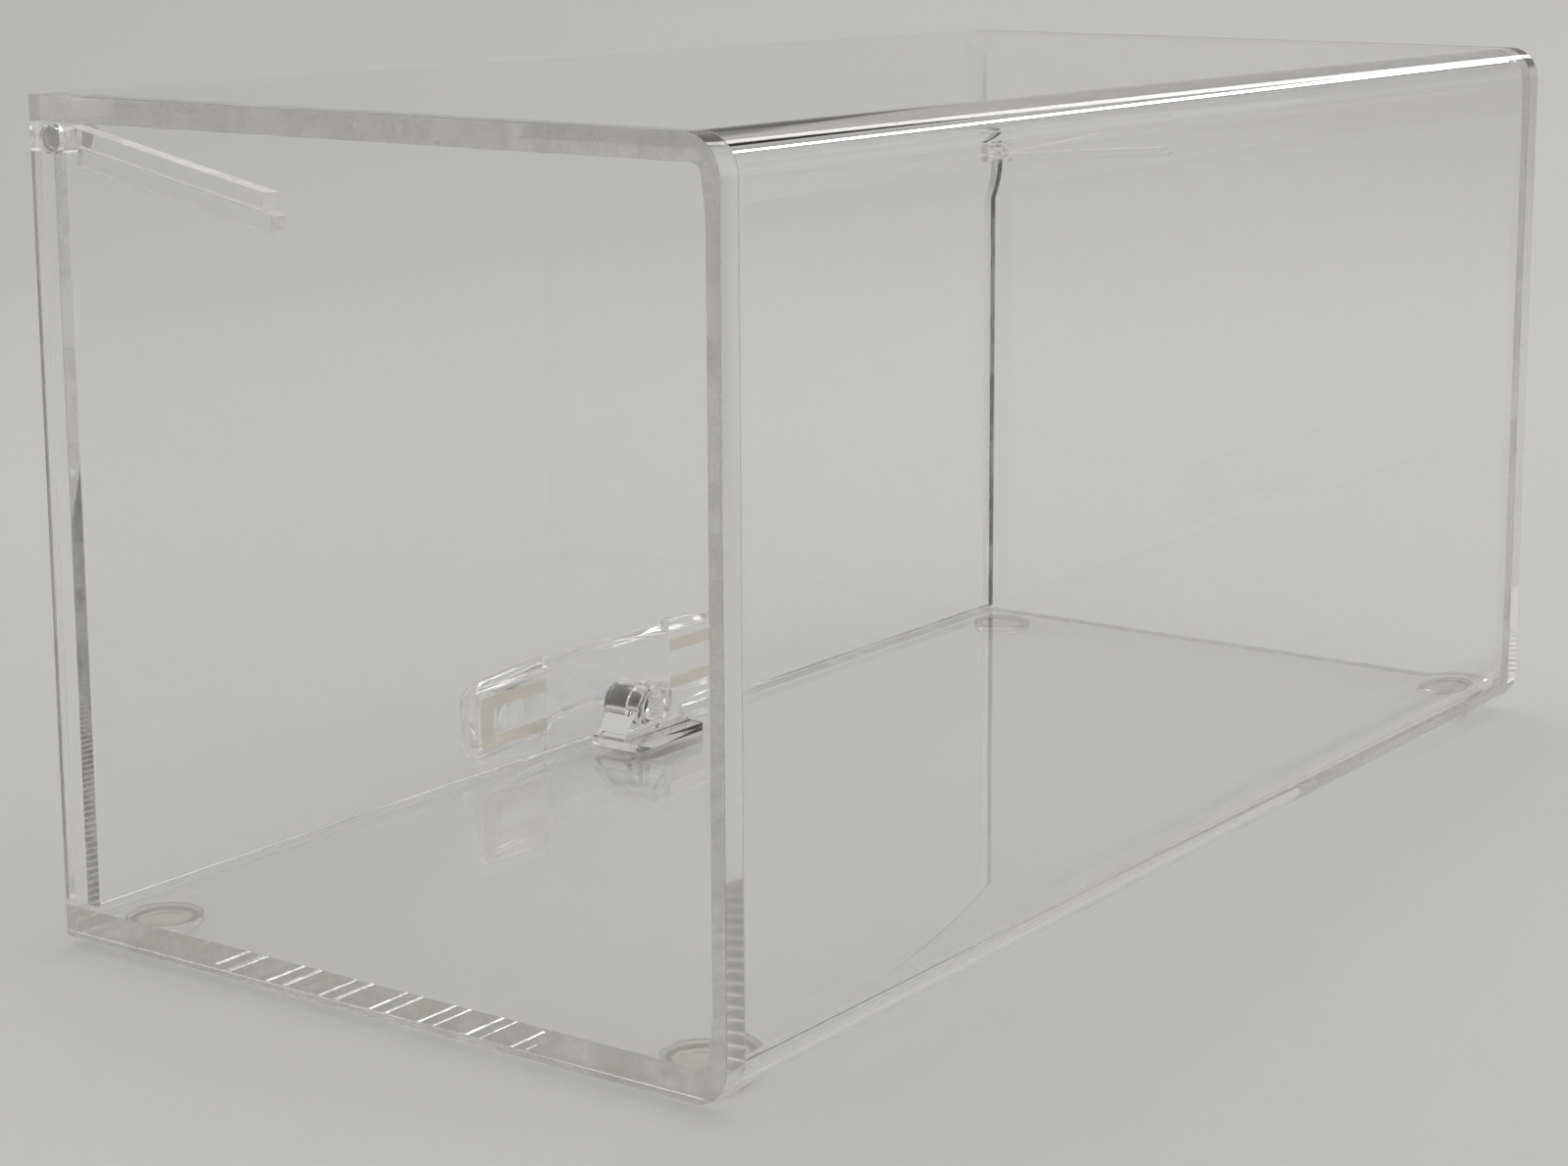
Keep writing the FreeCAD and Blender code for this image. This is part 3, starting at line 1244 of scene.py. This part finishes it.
@dataclass
class Studio:
    """A painted sweep, soft lamps and the camera."""

    azimuth: float = 123.77
    elevation: float = 10.22
    roll: float = 0.163
    lens: float = 72.33
    shift: tuple[float, float] = (-0.0854, -0.0839)
    place: tuple[float, float, float] = (0.5214, 0.3618, 0.1902)
    sweep_behind: float = 1.7
    sweep_ahead: float = 1.6
    sweep_width: float = 6.0
    sweep_height: float = 2.6
    sweep_bend: float = 0.7
    pale: str = "#C7C7C6"
    dim: str = "#8A8785"
    dim_side: tuple[float, float, float] = (0.84, -0.54, 0.0)

    def build(self) -> None:
        """Set up camera, sweep, lamps and world."""
        self.camera()
        self.sweep()
        self.lamps()
        self.world()

    def towards_camera(self) -> Vector:
        """Direction from the object to the camera."""
        a, e = math.radians(self.azimuth), math.radians(self.elevation)
        return Vector((math.sin(a) * math.cos(e), -math.cos(a) * math.cos(e), math.sin(e)))

    def camera(self) -> None:
        """Create the camera and make it the scene's."""
        back = self.towards_camera()
        right = Vector((0, 0, 1)).cross(back).normalized()
        up = back.cross(right)
        lean = math.radians(self.roll)
        sideways = right * math.cos(lean) + up * math.sin(lean)
        upright = up * math.cos(lean) - right * math.sin(lean)
        data = bpy.data.cameras.new("camera")
        data.lens = self.lens
        data.sensor_width = 36.0
        data.shift_x, data.shift_y = self.shift
        data.clip_start = 0.01
        camera = bpy.data.objects.new("camera", data)
        turn = Matrix((sideways, upright, back)).transposed().to_4x4()
        camera.matrix_world = Matrix.Translation(self.place) @ turn
        bpy.context.scene.collection.objects.link(camera)
        bpy.context.scene.camera = camera

    def sweep(self) -> None:
        """Build the floor that curves up into the backdrop."""
        ahead = self.towards_camera()
        ahead.z = 0
        ahead.normalize()
        across = Vector((0, 0, 1)).cross(ahead)
        profile = [(self.sweep_ahead, 0.0), (0.0, 0.0)]
        bend_start = -(self.sweep_behind - self.sweep_bend)
        for k in range(25):
            angle = math.radians(90 * k / 24)
            profile.append(
                (
                    bend_start - self.sweep_bend * math.sin(angle),
                    self.sweep_bend * (1 - math.cos(angle)),
                )
            )
        profile.append((-self.sweep_behind, self.sweep_height))
        solid = bmesh.new()
        rows = []
        for distance, height in profile:
            middle = ahead * distance + Vector((0, 0, height))
            rows.append([solid.verts.new(middle + across * side * self.sweep_width / 2) for side in (-1, 1)])
        for low, high in zip(rows, rows[1:]):
            solid.faces.new((low[0], low[1], high[1], high[0]))
        mesh = to_mesh(solid, "sweep")
        mesh.shade_smooth()
        mesh.materials.append(SWEEP.material())
        floor = bpy.data.objects.new("sweep", mesh)
        bpy.context.scene.collection.objects.link(floor)

    def lamps(self) -> None:
        """Hang a broad lamp overhead, weaker ones over the backdrop and behind, and a strip.

        The strip's glint runs along the bends.
        """
        middle = (0.0, 0.0, 0.08)
        Softbox("overhead", (-0.3, -0.1, 1.5), middle, 1.8, 1.4, 7.6, "#FFFFFF").build()
        Softbox("backdrop", (-0.8, -0.5, 1.6), (-1.3, -0.85, 0.1), 1.6, 0.6, 2.4, "#FFFFFF").build()
        Softbox("back wall side", (0.3, 1.7, 0.9), middle, 1.2, 1.0, 2.0, "#FBFDFF").build()
        Softbox("strip", (-1.35, 0.1, 0.98), middle, 0.2, 0.8, 2.1, "#FFFDFA").build()

    def world(self) -> None:
        """Surround the box with even pale grey that dims towards the room's dark side."""
        world = bpy.data.worlds.new("studio")
        world.use_nodes = True
        direction = add(world, "TexCoord").outputs["Generated"]
        along = add(
            world,
            "VectorMath",
            values={1: self.dim_side},
            links={0: direction},
            operation="DOT_PRODUCT",
        )
        share = add(
            world,
            "MapRange",
            values={"From Min": 0.45, "From Max": 0.95},
            links={"Value": along.outputs["Value"]},
            interpolation_type="SMOOTHSTEP",
        )
        colour = add(
            world,
            "Mix",
            values={6: linear(self.pale), 7: linear(self.dim)},
            links={0: share.outputs["Result"]},
            data_type="RGBA",
        )
        background = world.node_tree.nodes["Background"]
        world.node_tree.links.new(colour.outputs[2], background.inputs["Color"])
        bpy.context.scene.world = world


def settle_light_paths() -> None:
    """Let a ray pass every clear wall of the box, and keep colours as they are painted."""
    scene = bpy.context.scene
    scene.cycles.max_bounces = 64
    scene.cycles.transmission_bounces = 64
    scene.cycles.glossy_bounces = 64
    scene.cycles.transparent_max_bounces = 32
    scene.view_settings.view_transform = "Standard"


def main() -> None:
    """Build the studio and every piece of the box."""
    logging.basicConfig(level=logging.INFO, format="%(name)s %(message)s")
    Studio().build()
    settle_light_paths()
    BentWrap().build()
    for hand in Hand:
        EndPanel(hand).build()
        for row in Row:
            Rail(hand, row).build()
    for end in ("front", "back"):
        for hand in Hand:
            Foot(f"{end}_{hand.word}_foot").build()
    DropDoor().build()
    BowHandle().build()
    MagneticCatch().build()


if __name__ == "__main__":
    main()
